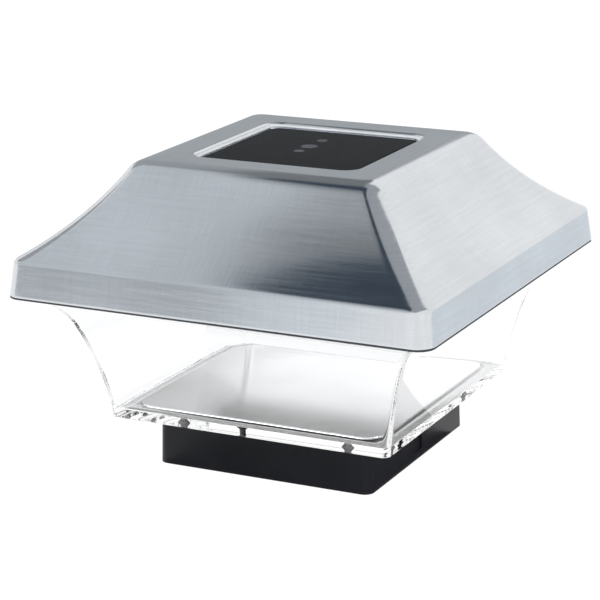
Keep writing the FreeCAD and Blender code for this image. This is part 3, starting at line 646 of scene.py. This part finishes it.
def upright(x, y, low, high):
    """Corners of an upright oblong that faces along y."""
    return [(x[0], y, low), (x[1], y, low), (x[1], y, high), (x[0], y, high)]


def facing(direction, distance, width, height):
    """Corners of an oblong card that faces the cap from a direction."""
    away = Vector(direction).normalized()
    across = away.cross(Vector((0, 0, 1))).normalized()
    up = across.cross(away)
    middle = Vector(CARD_AIM) + away * distance
    return [middle + across * x * width / 2 + up * y * height / 2
            for x, y in ((-1, -1), (1, -1), (1, 1), (-1, 1))]


def collar_cards():
    """Dark cards on the floor that give the collar's faces their gradients."""
    card("collar_front", level(0, (-0.045, 0.075), (-0.13, -0.047)), 0.02)
    card("collar_right", level(0, (0.047, 0.16), (-0.13, 0.035)), 0.02)


def mirror_card():
    """A card that fades from grey to white, which the mirror floor shows through the lens."""
    outline = [(-0.80, 0.74), (-0.62, 0.98), (-0.55, 1.30), (-0.05, 1.30), (-0.15, 0.74)]
    piece = card("mirror_fade", overhead(0.3707, outline), 0.5, WHITE, through_glass=True)
    tree = piece.data.materials[0].node_tree
    place = tree.nodes.new("ShaderNodeTexCoord")
    parts = tree.nodes.new("ShaderNodeSeparateXYZ")
    tree.links.new(place.outputs["Object"], parts.inputs[0])
    both = tree.nodes.new("ShaderNodeMath")
    both.operation = "MULTIPLY"
    away = mapped(tree, parts.outputs["Y"], 0.56, 1.24, 0.80, 0.95)
    across = mapped(tree, parts.outputs["X"], 0.15, 1.0, -0.61, -0.53)
    tree.links.new(away, both.inputs[0])
    tree.links.new(across, both.inputs[1])
    tree.links.new(both.outputs[0], tree.nodes["Emission"].inputs["Color"])


def make_camera():
    """The photograph's view: its frame, measured on the object's edges."""
    data = bpy.data.cameras.new("camera")
    camera = new_object("camera", data)
    data.sensor_width = SENSOR_WIDTH
    data.lens = FOCAL_LENGTH
    back = Vector((math.sin(VIEW_AZIMUTH) * math.cos(VIEW_ELEVATION),
                   -math.cos(VIEW_AZIMUTH) * math.cos(VIEW_ELEVATION), math.sin(VIEW_ELEVATION)))
    right = Vector((math.cos(VIEW_AZIMUTH), math.sin(VIEW_AZIMUTH), 0))
    up = back.cross(right)
    turned_right = math.cos(VIEW_ROLL) * right + math.sin(VIEW_ROLL) * up
    turned_up = -math.sin(VIEW_ROLL) * right + math.cos(VIEW_ROLL) * up
    turned = Matrix((turned_right, turned_up, back)).transposed().to_4x4()
    aim = right * AIM_ACROSS + Vector((0, 0, AIM_HEIGHT))
    camera.matrix_world = Matrix.Translation(aim + back * VIEW_DISTANCE) @ turned
    data.clip_start = 0.01
    data.clip_end = 50
    bpy.context.scene.camera = camera


def steel_cards():
    """What the steel mirrors, card by card: its plateau, its front and right roofs, and its skirts."""
    card("front_grey", facing((-0.45, -0.45, 0.78), 1.3, 1.7, 2.0), 0.69)
    card("back_grey", facing((-0.50, 0.86, 0.16), 1.3, 0.9, 0.62), 0.44)
    card("back_left", overhead(0.62, [(-0.90, 0.05), (-0.24, 0.05), (-0.10, 0.35), (-0.20, 0.70),
                                      (-0.45, 1.20), (-1.20, 1.20)]), 0.42)
    card("back_right", overhead(0.565, [(-0.245, 0.02), (-0.10, 0.02), (-0.10, 0.30), (-0.20, 0.67),
                                        (-0.45, 1.15), (-0.60, 1.08), (-0.42, 0.67), (-0.30, 0.33)]), 0.22)
    card("middle_grey", overhead(0.57, [(-0.26, -0.62), (0.02, -0.62), (0.02, 0.28), (-0.25, 0.28),
                                        (-0.235, -0.30)]), 0.41)
    card("right_grey", level(0.57, (0.02, 0.30), (-0.62, 0.28)), 0.42)
    card("dusk", overhead(0.56, [(-0.205, -0.15), (-0.205, -0.25), (-0.115, -0.29), (-0.115, -0.16)]), 0.28)
    card("dark", overhead(0.55, [(-0.225, -0.045), (-0.206, -0.092), (-0.187, -0.130), (-0.168, -0.163),
                                 (-0.143, -0.168), (-0.115, -0.185), (-0.115, -0.40), (-0.01, -0.40),
                                 (-0.01, 0.02), (-0.21, 0.02)]), 0.062, DARK_CARD_TINT)
    card("low_grey", upright((-0.95, -0.225), -0.56, 0.001, 0.25), 0.56)
    card("low_pale", upright((-0.225, -0.14), -0.56, 0.001, 0.25), 0.80)
    card("right_low", level(0, (0.15, 0.75), (0.15, 1.1)), 0.86)
    card("right_strip", facing((0.80, -0.58, 0.15), 0.9, 0.50, 0.9), 1.05, WHITE)


def make_studio():
    make_floor()
    make_world()
    lamp("key", (-0.9, -1.1, 1.5), 1.2, 16.0)
    lamp("fill", (1.4, -0.4, 0.9), 1.0, 8.0)
    steel_cards()
    collar_cards()
    mirror_card()
    make_camera()


make_cap()
make_bead()
make_pads()
make_lens()
make_film()
dress_nodes()
make_studio()

bpy.context.scene.view_settings.view_transform = "Standard"
bpy.context.scene.cycles.max_bounces = LIGHT_BOUNCES
bpy.context.scene.cycles.glossy_bounces = LIGHT_BOUNCES
bpy.context.scene.cycles.transmission_bounces = LIGHT_BOUNCES
